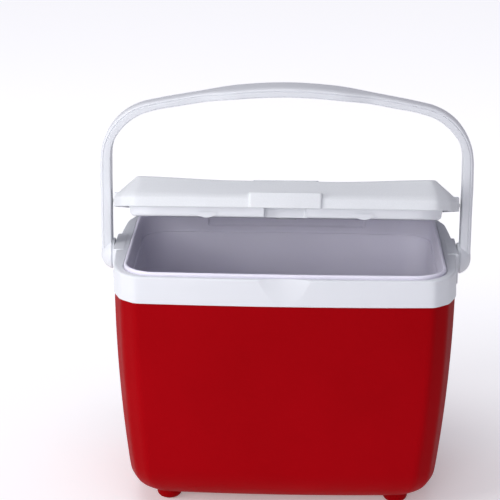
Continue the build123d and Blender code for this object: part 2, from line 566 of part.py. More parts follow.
# ---------------------------------------------------------------------------
# hinge pins
# ---------------------------------------------------------------------------
for pname, sx in (("hinge_pin_left", -1), ("hinge_pin_right", 1)):
    with BuildPart() as hinge_pin:
        with BuildSketch(Plane(origin=(sx * HINGE_X - 14.4, Y_HINGE + DY, Z_HINGE), x_dir=(0, 1, 0), z_dir=(1, 0, 0))) as rod:
            Circle(PIN_R)
        extrude(rod.sketch, amount=28.8, dir=(1, 0, 0))
        chamfer(hinge_pin.edges().filter_by(GeomType.CIRCLE), length=0.4)
    hinge_pin.part.label = pname
    export_step(hinge_pin.part, "parts/" + pname + ".step")
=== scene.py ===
import bpy
import bmesh
import math
import numpy as np
from mathutils import Matrix, Vector


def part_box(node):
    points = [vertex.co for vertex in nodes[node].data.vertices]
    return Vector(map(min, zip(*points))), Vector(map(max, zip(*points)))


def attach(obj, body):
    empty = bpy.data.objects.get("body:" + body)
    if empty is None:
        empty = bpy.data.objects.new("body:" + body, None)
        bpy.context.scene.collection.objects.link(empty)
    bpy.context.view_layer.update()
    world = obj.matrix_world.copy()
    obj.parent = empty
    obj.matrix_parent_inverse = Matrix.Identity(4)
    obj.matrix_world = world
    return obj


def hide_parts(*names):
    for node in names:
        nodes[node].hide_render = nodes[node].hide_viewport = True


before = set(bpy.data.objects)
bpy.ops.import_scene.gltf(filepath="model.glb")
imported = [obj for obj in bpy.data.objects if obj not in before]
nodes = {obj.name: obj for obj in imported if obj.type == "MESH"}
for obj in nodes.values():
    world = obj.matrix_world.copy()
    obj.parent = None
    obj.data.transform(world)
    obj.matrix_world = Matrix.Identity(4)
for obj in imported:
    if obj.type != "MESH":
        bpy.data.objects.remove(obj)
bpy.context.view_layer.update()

# ---------------------------------------------------------------------------
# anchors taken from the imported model, in millimetres
# ---------------------------------------------------------------------------
MM = 0.001


def centre(node):
    lo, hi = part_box(node)
    return [(a + b) * 500.0 for a, b in zip(lo, hi)]


_stud = centre("pivot_stud_right")
_pin = centre("hinge_pin_right")
DY = _stud[1]
Z_PIVOT = _stud[2]
Y_HINGE, Z_HINGE = _pin[1] - DY, _pin[2]
HINGE_X = _pin[0]
_foot = centre("foot_front_right")
FOOT_X, FOOT_Y = _foot[0], abs(_foot[1] - DY)

Z_BODY, Z_SEAM, Z_RIM, Z_LIP = 5.2, 212.3, 237.8, 240.9
FRONT, SIDE = 114.4, 160.6
AX, AY, BX, BY, CX, CY = 136.0, 110.6, 149.6, 98.6, 157.0, 78.0
PROUD, WALL = 0.6, 2.6
LIN_X, LIN_Y, LIN_BOW, LIN_R, LIN_WALL = 145.2, 103.4, 2.8, 28.0, 2.2
Z_STEP, Z_FLOOR = 218.8, 26.0
LID_OPEN = math.radians(16.0)
Z_SKIRT, Z_TOP, Z_PLUG = 238.4, 263.2, 230.0
PAD_X = 163.4
ARM_IN, ARM_OUT, HUB_R = 166.0, 176.4, 15.6

N = 480                      # points round every ring


# ---------------------------------------------------------------------------
# outlines, as radius against angle, so that any two of them can be joined
# ---------------------------------------------------------------------------
def seg(p, q, step=0.4):
    p, q = np.array(p, float), np.array(q, float)
    n = max(2, int(np.linalg.norm(q - p) / step))
    return p + (q - p) * np.linspace(0, 1, n, endpoint=False)[:, None]


def arc3(p, m, q, step=0.4):
    """Points along the circle through p, m, q, without q."""
    p, m, q = (np.array(v, float) for v in (p, m, q))
    d = 2 * (p[0] * (m[1] - q[1]) + m[0] * (q[1] - p[1]) + q[0] * (p[1] - m[1]))
    if abs(d) < 1e-9:
        return seg(p, q, step)
    s = [v @ v for v in (p, m, q)]
    c = np.array([(s[0] * (m[1] - q[1]) + s[1] * (q[1] - p[1]) + s[2] * (p[1] - m[1])) / d,
                  (s[0] * (q[0] - m[0]) + s[1] * (p[0] - q[0]) + s[2] * (m[0] - p[0])) / d])
    r = np.linalg.norm(p - c)
    a0, a1, a2 = (math.atan2(*(v - c)[::-1]) for v in (p, m, q))
    while a1 - a0 > math.pi: a1 -= 2 * math.pi
    while a1 - a0 < -math.pi: a1 += 2 * math.pi
    while a2 - a1 > math.pi: a2 -= 2 * math.pi
    while a2 - a1 < -math.pi: a2 += 2 * math.pi
    n = max(3, int(abs(a2 - a0) * r / step))
    t = np.linspace(a0, a2, n, endpoint=False)
    return c + r * np.stack([np.cos(t), np.sin(t)], 1)


def soften(poly, sigma):
    """Even spacing, then a gaussian blur along a closed outline, which rounds its corners."""
    closed = np.vstack([poly, poly[:1]])
    d = np.r_[0, np.cumsum(np.linalg.norm(np.diff(closed, axis=0), axis=1))]
    n = int(d[-1] / 0.4)
    t = np.linspace(0, d[-1], n, endpoint=False)
    p = np.stack([np.interp(t, d, closed[:, i]) for i in (0, 1)], 1)
    h = d[-1] / n
    k = np.fft.rfftfreq(n, d=h) * 2 * math.pi
    g = np.exp(-0.5 * (k * sigma) ** 2)
    return np.stack([np.fft.irfft(np.fft.rfft(p[:, i]) * g, n) for i in (0, 1)], 1)


def polar(poly):
    """Radius at the shared angles."""
    a = np.arctan2(poly[:, 1], poly[:, 0])
    r = np.hypot(poly[:, 0], poly[:, 1])
    o = np.argsort(a)
    a, r = a[o], r[o]
    return np.interp(THETA, np.r_[a[-1] - 2 * math.pi, a, a[0] + 2 * math.pi], np.r_[r[-1], r, r[0]])


def outline(a, b, c, f, s, sigma):
    """Closed outline through the quarter's corner points a, b, c, front middle f and side middle s."""
    q = []
    q.append(arc3((-a[0], -a[1]), (0, -f), (a[0], -a[1])))
    q.append(seg((a[0], -a[1]), (b[0], -b[1])))
    q.append(seg((b[0], -b[1]), (c[0], -c[1])))
    q.append(arc3((c[0], -c[1]), (s, 0), (c[0], c[1])))
    q.append(seg((c[0], c[1]), (b[0], b[1])))
    q.append(seg((b[0], b[1]), (a[0], a[1])))
    half = np.vstack(q[:1] + q[1:])
    rest = [arc3((a[0], a[1]), (0, f), (-a[0], a[1])), seg((-a[0], a[1]), (-b[0], b[1])),
            seg((-b[0], b[1]), (-c[0], c[1])), arc3((-c[0], c[1]), (-s, 0), (-c[0], -c[1])),
            seg((-c[0], -c[1]), (-b[0], -b[1])), seg((-b[0], -b[1]), (-a[0], -a[1]))]
    return soften(np.vstack([half] + rest), sigma)


def tub_outline(tx, ty, sigma=2.7):
    return outline((AX - 0.85 * tx, AY - ty), (BX - 0.93 * tx, BY - 0.90 * ty), (CX - tx, CY - 0.72 * ty),
                   FRONT - ty, SIDE - tx, sigma)


# shared angles: even along the tub's outline, with a little more in the corners
_base = tub_outline(0, 0)
_d = np.r_[0, np.cumsum(np.linalg.norm(np.diff(np.vstack([_base, _base[:1]]), axis=0), axis=1))]
_w = 1.0 + 1.2 * np.exp(-((np.abs(_base[:, 0]) - 147) / 14.0) ** 2) * (np.abs(_base[:, 1]) > 60)
_c = np.r_[0, np.cumsum(_w)]
_c /= _c[-1]
_u = np.interp((np.arange(N) + 0.5) / N, _c, np.arange(len(_c)))
_i = _u.astype(int) % len(_base)
_j = (_i + 1) % len(_base)
_f = (_u - np.floor(_u))[:, None]
_p = _base[_i] * (1 - _f) + _base[_j] * _f
THETA = np.sort(np.arctan2(_p[:, 1], _p[:, 0]))
COS, SIN = np.cos(THETA), np.sin(THETA)
_cache = {}


def tub_ring(tx, ty, z, sigma=2.7):
    k = ("t", round(tx, 4), round(ty, 4), sigma)
    if k not in _cache:
        _cache[k] = polar(tub_outline(tx, ty, sigma))
    r = _cache[k]
    return np.stack([r * COS, r * SIN, np.full(N, z)], 1)


def mouth_outline(x, y, bow, rad):
    q = [arc3((-x + rad, -y - bow * (1 - ((x - rad) / x) ** 2)), (0, -y - bow), (x - rad, -y - bow * (1 - ((x - rad) / x) ** 2)))]
    yc = y + bow * (1 - ((x - rad) / x) ** 2)

    def corner(cx, cy, a0, a1, ry):
        t = np.linspace(a0, a1, max(6, int(rad * 1.57 / 0.4)), endpoint=False)
        return np.stack([cx + rad * np.cos(t), cy + ry * np.sin(t)], 1)
    h = math.pi / 2
    q.append(corner(x - rad, -yc + rad, -h, 0, rad))
    q.append(seg((x, -yc + rad), (x, yc - rad)))
    q.append(corner(x - rad, yc - rad, 0, h, rad))
    q.append(arc3((x - rad, yc), (0, y + bow), (-x + rad, yc)))
    q.append(corner(-x + rad, yc - rad, h, 2 * h, rad))
    q.append(seg((-x, yc - rad), (-x, -yc + rad)))
    q.append(corner(-x + rad, -yc + rad, 2 * h, 3 * h, rad))
    return soften(np.vstack(q), 1.2)


def mouth_ring(grow, z, rad=None, x=LIN_X, y=LIN_Y):
    rad = max(6.0, LIN_R + grow) if rad is None else rad
    k = ("m", round(grow, 4), round(rad, 3), x, y)
    if k not in _cache:
        _cache[k] = polar(mouth_outline(x + grow, y + grow, LIN_BOW, rad))
    r = _cache[k]
    return np.stack([r * COS, r * SIN, np.full(N, z)], 1)


def lid_ring(t, z):
    k = ("l", round(t, 4))
    if k not in _cache:
        f = max(0.0, 1.0 - t / 25.5)
        _cache[k] = polar(outline((AX - 0.16 * t, AY - 0.98 * t), (BX - 0.58 * t, BY - 0.62 * t),
                                  (CX - 0.86 * t, CY + 0.02 * t), FRONT - t, SIDE - 0.93 * t, 1.2 + 1.6 * f))
    r = _cache[k]
    return np.stack([r * COS, r * SIN, np.full(N, z)], 1)


# ---------------------------------------------------------------------------
# mesh helpers
# ---------------------------------------------------------------------------
TO_TUB = Matrix.Translation((0, DY * MM, 0))
TO_LID = (Matrix.Translation((0, (Y_HINGE + DY) * MM, Z_HINGE * MM)) @ Matrix.Rotation(-LID_OPEN, 4, "X")
          @ Matrix.Translation((0, -Y_HINGE * MM, -Z_HINGE * MM)))


def make(name, verts, faces, matrix=None):
    me = bpy.data.meshes.new(name)
    me.from_pydata([tuple(v) for v in np.asarray(verts) * MM], [], faces)
    me.validate()
    if matrix is not None:
        me.transform(matrix)
    o = bpy.data.objects.new(name, me)
    bpy.context.scene.collection.objects.link(o)
    return o


def loft(name, rings, matrix=None, cap_first=False, cap_last=False, loop=False):
    """Skin of closed rings of N points. Caps are closed with rings that shrink to a centre point."""
    n = len(rings[0])
    verts = np.vstack(rings)
    faces = []
    m = len(rings)
    for i in range(m if loop else m - 1):
        a, b = i * n, ((i + 1) % m) * n
        for j in range(n):
            k = (j + 1) % n
            faces.append((a + j, a + k, b + k, b + j))
    verts = list(verts)
    for cap, ring_i in ((cap_first, 0), (cap_last, m - 1)):
        if not cap:
            continue
        base = np.asarray(rings[ring_i])
        c = base.mean(axis=0)
        prev = [ring_i * n + j for j in range(n)]
        for s in (0.82, 0.62, 0.42, 0.22):
            cur = []
            for j in range(n):
                verts.append(c + (base[j] - c) * s)
                cur.append(len(verts) - 1)
            for j in range(n):
                k = (j + 1) % n
                q = (prev[j], cur[j], cur[k], prev[k])
                faces.append(q if ring_i else q[::-1])
            prev = cur
        verts.append(c)
        v = len(verts) - 1
        for j in range(n):
            k = (j + 1) % n
            q = (prev[j], v, prev[k])
            faces.append(q if ring_i else q[::-1])
    o = make(name, np.array(verts), faces, matrix)
    fix_normals(o)
    return o


def fix_normals(o):
    bm = bmesh.new()
    bm.from_mesh(o.data)
    bmesh.ops.remove_doubles(bm, verts=bm.verts, dist=1e-7)
    bmesh.ops.recalc_face_normals(bm, faces=bm.faces)
    bm.to_mesh(o.data)
    bm.free()


def shade(o, angle=32.0):
    """Smooth shading with sharp edges where two faces meet at more than the angle."""
    bm = bmesh.new()
    bm.from_mesh(o.data)
    lim = math.radians(angle)
    for f in bm.faces:
        f.smooth = True
    for e in bm.edges:
        e.smooth = not (len(e.link_faces) != 2 or e.calc_face_angle(0.0) > lim)
    bm.to_mesh(o.data)
    bm.free()
    return o


def boolean(target, other, op, solver="EXACT"):
    m = target.modifiers.new("b", "BOOLEAN")
    m.operation = op
    m.solver = solver
    m.object = other
    dg = bpy.context.evaluated_depsgraph_get()
    me = bpy.data.meshes.new_from_object(target.evaluated_get(dg))
    target.modifiers.remove(m)
    old = target.data
    target.data = me
    bpy.data.meshes.remove(old)
    bpy.data.objects.remove(other, do_unlink=True)
    return target


def clean(o, dist=2e-6):
    bm = bmesh.new()
    bm.from_mesh(o.data)
    bmesh.ops.remove_doubles(bm, verts=bm.verts, dist=dist)
    bmesh.ops.dissolve_degenerate(bm, edges=bm.edges, dist=dist)
    loose = [v for v in bm.verts if not v.link_faces]
    bmesh.ops.delete(bm, geom=loose, context="VERTS")
    bm.to_mesh(o.data)
    bm.free()
    return o


def round_rect(w, d, r, n=10):
    """Corner-rounded rectangle, 4 * (n + 1) points, centred on 0, 0."""
    r = min(r, w / 2 - 1e-3, d / 2 - 1e-3)
    pts = []
    for sx, sy, a in ((1, -1, -90), (1, 1, 0), (-1, 1, 90), (-1, -1, 180)):
        for i in range(n + 1):
            t = math.radians(a + 90 * i / n)
            pts.append((sx * (w / 2 - r) + r * math.cos(t), sy * (d / 2 - r) + r * math.sin(t)))
    return np.array(pts)


def soft_box(name, w, d, h, r, top=0.0, bottom=0.0, at=(0, 0, 0), matrix=None, steps=6, taper=0.0):
    """Rounded block: w x d, h tall from at, vertical edges r, top and bottom edges rounded."""
    levels = []
    if bottom > 0:
        for i in range(steps + 1):
            a = math.pi / 2 * i / steps
            levels.append((bottom * (1 - math.sin(a)), bottom * (1 - math.cos(a))))
    else:
        levels.append((0.0, 0.0))
    if top > 0:
        for i in range(steps + 1):
            a = math.pi / 2 * i / steps
            levels.append((top * (1 - math.cos(a)), h - top + top * math.sin(a)))
    else:
        levels.append((0.0, h))
    rings = []
    for inset, z in levels:
        t = taper * z / h
        p = round_rect(w - 2 * inset - 2 * t, d - 2 * inset - 2 * t, max(0.3, r - inset * 0.6))
        rings.append(np.stack([p[:, 0] + at[0], p[:, 1] + at[1], np.full(len(p), z + at[2])], 1))
    n = len(rings[0])
    verts = np.vstack(rings)
    faces = []
    for i in range(len(rings) - 1):
        a, b = i * n, (i + 1) * n
        faces += [(a + j, a + (j + 1) % n, b + (j + 1) % n, b + j) for j in range(n)]
    faces.append(tuple(range(n))[::-1])
    faces.append(tuple(range((len(rings) - 1) * n, len(rings) * n)))
    o = make(name, verts, faces, matrix)
    fix_normals(o)
    return o


def lathe(name, profile, origin, axis, n=96, matrix=None):
    """Solid of revolution. profile is (distance along axis, radius) pairs, from one end on the axis to the other."""
    ax = Vector(axis).normalized()
    u = ax.orthogonal().normalized()
    v = ax.cross(u)
    o = Vector(origin)
    verts, faces, rows = [], [], []
    for s, r in profile:
        if r < 1e-6:
            verts.append(o + ax * s)
            rows.append([len(verts) - 1])
        else:
            row = []
            for i in range(n):
                t = 2 * math.pi * i / n
                verts.append(o + ax * s + (u * math.cos(t) + v * math.sin(t)) * r)
                row.append(len(verts) - 1)
            rows.append(row)
    for a, b in zip(rows[:-1], rows[1:]):
        for i in range(n):
            j = (i + 1) % n
            if len(a) == 1 and len(b) == 1:
                continue
            if len(a) == 1:
                faces.append((a[0], b[i], b[j]))
            elif len(b) == 1:
                faces.append((a[i], b[0], a[j]))
            else:
                faces.append((a[i], b[i], b[j], a[j]))
    ob = make(name, np.array([tuple(p) for p in verts]), faces, matrix)
    fix_normals(ob)
    return ob


def fillet_pts(r, n=7):
    """(inset, rise) pairs of a quarter round, from the side to the top."""
    return [(r * (1 - math.cos(math.pi / 2 * i / n)), r * math.sin(math.pi / 2 * i / n)) for i in range(n + 1)]


# ---------------------------------------------------------------------------
# outer shell
# ---------------------------------------------------------------------------
def taper(z):
    u = max(0.0, Z_SEAM - z)
    return 0.01275 * u + 3.19e-4 * u * u


def bowl(z, start, height, run):
    if z >= start:
        return 0.0
    k = min(1.0, (start - z) / height)
    return run * (1.0 - math.sqrt(max(0.0, 1.0 - k * k)))


def shell_ring(z, wall=0.0, sigma=2.7):
    t = taper(z)
    bx, by = bowl(z, 35, 30, 30), bowl(z, 45, 40, 48)
    return tub_ring(t + bx + wall, t + by + wall, z, sigma)


zs = [Z_BODY + 40.0 * (i / 22.0) ** 2.0 for i in range(23)] + list(np.linspace(45.2, 211.0, 30))[1:]
rings = [shell_ring(z) for z in zs]
for inset, rise in fillet_pts(0.7, 4):
    rings.append(tub_ring(taper(Z_SEAM) + inset, taper(Z_SEAM) + inset, 211.4 + rise))
rings.append(tub_ring(WALL, WALL, 212.1))
for z in (205.0, 180.0, 140.0, 100.0, 70.0, 50.0, 35.0, 24.0, 16.0, 11.5, 9.6):
    rings.append(shell_ring(z, WALL))
shell = loft("shell_body", rings, TO_TUB, cap_first=True, cap_last=True)
for sx in (-1, 1):
    for sy in (-1, 1):
        c = lathe("cut", [(0, 0), (0, 11.95), (14.0, 11.95), (14.0, 0)], (sx * FOOT_X, sy * FOOT_Y, -1.0), (0, 0, 1), 64, TO_TUB)
        # a shallow moulded ring round every foot
        boolean(shell, c, "DIFFERENCE")
clean(shell)
shade(shell, 30)

# ---------------------------------------------------------------------------
# feet
# ---------------------------------------------------------------------------
feet = []
for name, sx, sy in (("foot_front_left", -1, -1), ("foot_front_right", 1, -1), ("foot_rear_left", -1, 1), ("foot_rear_right", 1, 1)):
    prof = [(0.0, 0.0), (0.0, 3.0), (0.0, 5.0), (0.08, 5.7), (0.35, 6.9), (0.85, 8.1), (1.6, 9.5), (2.6, 10.5), (3.8, 11.25), (5.0, 11.65),
            (6.2, 11.8), (9.0, 11.8), (12.1, 11.8), (12.1, 0.0)]
    f = lathe(name + "_dome", prof, (sx * FOOT_X, sy * FOOT_Y, 0.0), (0, 0, 1), 72, TO_TUB)
    shade(f, 40)
    feet.append((f, name))

# ---------------------------------------------------------------------------
# collar
# ---------------------------------------------------------------------------
def collar_ring(z, inset=0.0):
    k = (z - Z_SEAM) / (Z_RIM - Z_SEAM)
    g = -(PROUD + 0.4) + 0.6 * k + inset
    return tub_ring(g, g, z)


rings = [tub_ring(2.5, 2.5, Z_SEAM)]
for inset, rise in fillet_pts(0.8, 5)[::-1]:
    rings.append(collar_ring(Z_SEAM + 0.8 - rise, inset))
for z in np.linspace(Z_SEAM + 1.4, Z_RIM - 2.0, 9):
    rings.append(collar_ring(z))
for inset, rise in fillet_pts(1.8, 8):
    rings.append(collar_ring(Z_RIM - 1.8 + rise, inset))
for k in (0.35, 0.7):
    rings.append(collar_ring(Z_RIM, 1.8) * (1 - k) + mouth_ring(4.6, Z_RIM) * k)
    rings[-1][:, 2] = Z_RIM
for inset, rise in fillet_pts(0.5, 3)[::-1]:
    rings.append(mouth_ring(4.1 + inset, Z_RIM - 0.5 + rise))
rings.append(mouth_ring(4.1, 236.05))
rings.append(mouth_ring(2.35, 236.05))
rings.append(mouth_ring(2.35, 229.2))
rings.append(tub_ring(2.5, 2.5, 229.2))
collar = loft("collar_body", rings, TO_TUB, loop=True)
for sx in (-1, 1):
    pad = soft_box("pad", 238.4 - Z_SEAM, 54.0, PAD_X - 153.2, 1.3, top=1.3, steps=5)
    # the block is modelled upright and then laid on its side
    pad.data.transform(Matrix.Translation((sx * 153.2 * MM, DY * MM, (Z_SEAM + 238.4) / 2 * MM)) @ Matrix.Rotation(math.pi / 2 * sx, 4, "Y"))
    fix_normals(pad)
    boolean(collar, pad, "UNION")
    lip = soft_box("lip", 9.4, 54.0, PAD_X - 160.9, 1.3, top=0.8, steps=4)
    lip.data.transform(Matrix.Translation((sx * 160.9 * MM, DY * MM, 213.5 * MM)) @ Matrix.Rotation(math.pi / 2 * sx, 4, "Y"))
    fix_normals(lip)
    boolean(collar, lip, "UNION")

tilt, scoop_r = math.radians(10.0), 86.0
so = (0, -(FRONT + PROUD) - scoop_r * math.cos(tilt) + 0.1, 216.6 + scoop_r * math.sin(tilt))
boolean(collar, lathe("scoop", [(-75, 0), (-75, scoop_r), (75, scoop_r), (75, 0)], so, (0, math.sin(tilt), math.cos(tilt)), 420, TO_TUB), "DIFFERENCE")


def prism(name, pts, x0, x1, matrix=None):
    """Polygon in y, z drawn out along x."""
    n = len(pts)
    v = [(x0, p[0], p[1]) for p in pts] + [(x1, p[0], p[1]) for p in pts]
    f = [tuple(range(n))[::-1], tuple(range(n, 2 * n))] + [(i, (i + 1) % n, n + (i + 1) % n, n + i) for i in range(n)]
    o = make(name, np.array(v, float), f, matrix)
    fix_normals(o)
    return o


def knuckle_outline(r, web):
    """Round knuckle with a web that runs off to a wall; the outline starts and ends on the circle."""
    a0, a1 = web[0], web[-1]
    t = np.linspace(math.radians(a0), math.radians(a1), 40)
    return [(r * math.cos(k), r * math.sin(k)) for k in t] + list(web[1:-1])


for sx in (-1, 1):
    for side in (-1, 1):
        x0 = sx * HINGE_X + side * 10.2
        pts = knuckle_outline(4.2, (-104.0, (-8.2, -0.8), (-8.2, -10.4), 191.0))
        pts = [(Y_HINGE + p[0], Z_HINGE + p[1]) for p in pts]
        boolean(collar, prism("ear", pts, x0 - 3.8, x0 + 3.8, TO_TUB), "UNION")
clean(collar)
shade(collar, 30)

# ---------------------------------------------------------------------------
# liner
# ---------------------------------------------------------------------------
def inner_grow(z):
    return -2.2 - 15.8 * (Z_STEP + 0.5 - z) / (Z_STEP + 0.5 - Z_FLOOR)


def inner_rad(z):
    return 26.0 - 4.0 * (Z_STEP + 0.5 - z) / (Z_STEP + 0.5 - Z_FLOOR)


rings = []
base = Z_FLOOR - LIN_WALL
for inset, rise in fillet_pts(15.0, 9)[::-1]:
    z = base + 15.0 - rise
    g = -18.0 + LIN_WALL + 15.8 * (z - base) / (Z_STEP - 2.2 - base)
    rings.append(mouth_ring(g - inset, z, max(8.0, 24.0 - 0.6 * inset)))
for z in np.linspace(50.0, Z_STEP - 2.2, 10):
    k = (z - base) / (Z_STEP - 2.2 - base)
    rings.append(mouth_ring(-18.0 + LIN_WALL + 18.0 * k, z, 24.0 + (LIN_R + LIN_WALL - 24.0) * k))
rings.append(mouth_ring(LIN_WALL, 228.0))
rings.append(mouth_ring(LIN_WALL, 236.2))
for inset, rise in fillet_pts(0.5, 3)[::-1]:
    rings.append(mouth_ring(3.2 - inset, 236.7 - rise))
for inset, rise in fillet_pts(1.7, 8):
    rings.append(mouth_ring(3.2 - inset, Z_LIP - 1.7 + rise))
for inset, rise in fillet_pts(1.3, 8)[::-1]:
    rings.append(mouth_ring(0.05 + inset, Z_LIP - 1.3 + rise))
for z in (236.0, 231.0, 226.0, 222.0):
    rings.append(mouth_ring(0.05 - 0.6 * (Z_LIP + 2 - z) / (Z_LIP + 2 - Z_STEP), z))
for g, z in ((-0.57, 0.5), (-0.68, 0.12), (-1.0, 0.0), (-1.6, -0.06), (-2.05, -0.4), (-2.24, -1.0)):
    rings.append(mouth_ring(g, Z_STEP + z))
for z in np.linspace(Z_STEP - 1.5, Z_FLOOR + 13.0, 22):
    rings.append(mouth_ring(inner_grow(z), z, inner_rad(z)))
for inset, rise in fillet_pts(13.0, 14)[1:]:
    z = Z_FLOOR + 13.0 - rise
    rings.append(mouth_ring(inner_grow(z) - inset, z, max(7.0, inner_rad(z) - 0.75 * inset)))
liner = loft("liner_body", rings, TO_TUB, cap_first=True, cap_last=True)
shelf = soft_box("shelf", 155.0, 6.6, 4.0, 2.4, bottom=0.5, steps=3, taper=-4.0)
# laid against the rear wall, its flat side outwards
shelf.data.transform(Matrix.Translation((0, (LIN_Y + LIN_BOW + 1.1 + DY) * MM, 229.9 * MM)) @ Matrix.Rotation(math.pi / 2, 4, "X"))
fix_normals(shelf)
boolean(liner, shelf, "DIFFERENCE")
clean(liner)
shade(liner, 30)

# ---------------------------------------------------------------------------
# lid shell
# ---------------------------------------------------------------------------
def curve(points, n):
    """Smooth curve through the points, n steps per span."""
    p = np.array(points, float)
    d = np.r_[0, np.cumsum(np.linalg.norm(np.diff(p, axis=0), axis=1))]
    m = np.zeros_like(p)
    m[1:-1] = ((p[2:] - p[1:-1]) / (d[2:] - d[1:-1])[:, None] * (d[1:-1] - d[:-2])[:, None]
               + (p[1:-1] - p[:-2]) / (d[1:-1] - d[:-2])[:, None] * (d[2:] - d[1:-1])[:, None]) / (d[2:] - d[:-2])[:, None]
    m[0] = (p[1] - p[0]) / (d[1] - d[0])
    m[-1] = (p[-1] - p[-2]) / (d[-1] - d[-2])
    out = []
    for i in range(len(p) - 1):
        h = d[i + 1] - d[i]
        for t in np.linspace(0, 1, n, endpoint=False):
            out.append((2 * t ** 3 - 3 * t ** 2 + 1) * p[i] + (t ** 3 - 2 * t ** 2 + t) * h * m[i]
                       + (-2 * t ** 3 + 3 * t ** 2) * p[i + 1] + (t ** 3 - t ** 2) * h * m[i + 1])
    out.append(p[-1])
    return np.array(out)


rings = [lid_ring(2.8, 243.9), lid_ring(2.8, Z_SKIRT + 0.4), lid_ring(2.4, Z_SKIRT)]
for inset, rise in fillet_pts(0.6, 4)[::-1]:
    rings.append(lid_ring(0.2 + inset, Z_SKIRT + 0.6 - rise))
for z in (240.5, 242.5, 244.2):
    rings.append(lid_ring(0.2, z))
crown = curve([(0.2, 245.2), (0.35, 246.8), (2.0, 249.2), (7.4, 253.0), (15.0, 257.6), (21.2, 261.3), (23.4, 262.6), (25.0, 263.1), (26.6, 263.2)], 5)
for t, z in crown:
    rings.append(lid_ring(t, z))
lid = loft("lid_body", rings, None, cap_first=True, cap_last=True)
# the top rises a little towards both ends
for v in lid.data.vertices:
    h = min(1.0, max(0.0, (v.co.z / MM - 249.2) / 13.0))
    k = min(1.0, max(0.0, (abs(v.co.x) / MM - 42.0) / 100.0))
    v.co.z += 3.0 * MM * h * k * k * (3 - 2 * k) if v.co.z > 249.2 * MM else 0.0
lid.data.transform(TO_LID)

boolean(lid, soft_box("tab", 66.0, 14.4, 14.0, 2.6, top=1.0, bottom=0.5, at=(0, -FRONT + 5.0, Z_SKIRT), matrix=TO_LID), "UNION")
boolean(lid, soft_box("plate", 60.0, 38.0, 2.6, 5.0, top=0.7, at=(0, -68.0, 264.1 - 2.6), matrix=TO_LID), "UNION")
for sx in (-1, 1):
    boolean(lid, soft_box("ear", 12.0, 42.0, 14.0, 2.4, top=1.6, bottom=0.5, at=(sx * 157.3, 0, Z_SKIRT), matrix=TO_LID), "UNION")
    boolean(lid, soft_box("nub", 5.0, 8.0, 3.8, 1.2, top=0.5, bottom=0.5, at=(sx * 162.7, 0, Z_SKIRT + 4.0), matrix=TO_LID), "UNION")
    hx = sx * HINGE_X
    boolean(lid, lathe("notch", [(-14.6, 0), (-14.6, 4.8), (14.6, 4.8), (14.6, 0)], (hx, Y_HINGE, Z_HINGE), (1, 0, 0), 64, TO_LID), "DIFFERENCE")
    pts = [(4.2 * math.cos(math.radians(k)), 4.2 * math.sin(math.radians(k))) for k in np.linspace(-176.0, 90.0, 40)] + [(-9.6, 4.2), (-9.6, -0.3)]
    pts = [(Y_HINGE + p[0], Z_HINGE + p[1]) for p in pts]
    boolean(lid, prism("knuckle", pts, hx - 5.8, hx + 5.8, TO_LID), "UNION")
clean(lid)
shade(lid, 28)

# ---------------------------------------------------------------------------
# lid pan with its plug
# ---------------------------------------------------------------------------
rings = []
for inset, rise in fillet_pts(2.8, 8)[::-1]:
    z = Z_PLUG + 2.8 - rise
    rings.append(mouth_ring(-1.3 - 1.9 + 1.9 * (z - Z_PLUG) / 11.5 - inset, z, 25.5 - inset * 0.6))
for z in (234.0, 236.5, 239.0, 240.9):
    rings.append(mouth_ring(-1.3 - 1.9 + 1.9 * (z - Z_PLUG) / 11.5, z, 26.0))
rings.append(mouth_ring(-0.9, 241.4, 26.5))
rings.append(lid_ring(3.1, 241.4))
rings.append(lid_ring(3.1, 243.6))
pan = loft("pan_body", rings, TO_LID, cap_first=True, cap_last=True)
for sx in (-1, 1):
    t = np.linspace(-1, 1, 25)
    pts = [(sx * 71 + 9.0 * k, 232.2 - 3.2 * (1 - k * k)) for k in t] + [(sx * 71 + 8.0, 234.0), (sx * 71 - 8.0, 234.0)]
    n = len(pts)
    v = [(p[0], -99.5, p[1]) for p in pts] + [(p[0], -103.9, p[1]) for p in pts]
    f = [tuple(range(n)), tuple(range(n, 2 * n))[::-1]] + [(i, (i + 1) % n, n + (i + 1) % n, n + i) for i in range(n)]
    nub = make("snap", np.array(v), f, TO_LID)
    fix_normals(nub)
    boolean(pan, nub, "UNION")
boolean(pan, soft_box("recess", 39.0, 15.0, 14.0, 4.0, top=0.0, at=(0, -LIN_Y - LIN_BOW + 5.0, Z_PLUG - 2.6), matrix=TO_LID), "DIFFERENCE")
clean(pan)
shade(pan, 30)

# ---------------------------------------------------------------------------
# bail handle
# ---------------------------------------------------------------------------
OUTER = [(0, 166.0), (35, 164.4), (67, 160.6), (99, 155.2), (124, 150.3), (137, 147.2), (148, 142.3),
         (156.5, 136.2), (163.6, 128.6), (169.6, 119.2), (173.6, 109.5), (175.8, 98.0), (ARM_OUT, 84.0), (ARM_OUT, 40.0), (ARM_OUT, 0.0)]
INNER = [(0, 157.0), (35, 155.6), (67, 152.2), (99, 146.6), (124, 141.9), (138, 137.2), (148.6, 130.2),
         (157.0, 121.4), (163.0, 111.4), (165.6, 101.0), (ARM_IN, 88.0), (ARM_IN, 40.0), (ARM_IN, 0.0)]


def both_sides(p):
    return [(-x, z) for x, z in p[1:4][::-1]] + p


def dense(p):
    c = curve(both_sides(p), 40)
    return c[c[:, 0] > -1e-9] if abs(c[120][0]) < 1e-6 else c[120:]


outer_c, inner_c = dense(OUTER), dense(INNER)


def hit(c, origin, ang):
    """Where the curve crosses the ray from origin."""
    d = c - np.array(origin)
    a = np.unwrap(np.arctan2(d[:, 1], d[:, 0]))
    if a[0] < 0:
        a = a + 2 * math.pi
    o = np.argsort(a)
    return np.array([np.interp(ang, a[o], c[o, 0]), np.interp(ang, a[o], c[o, 1])])


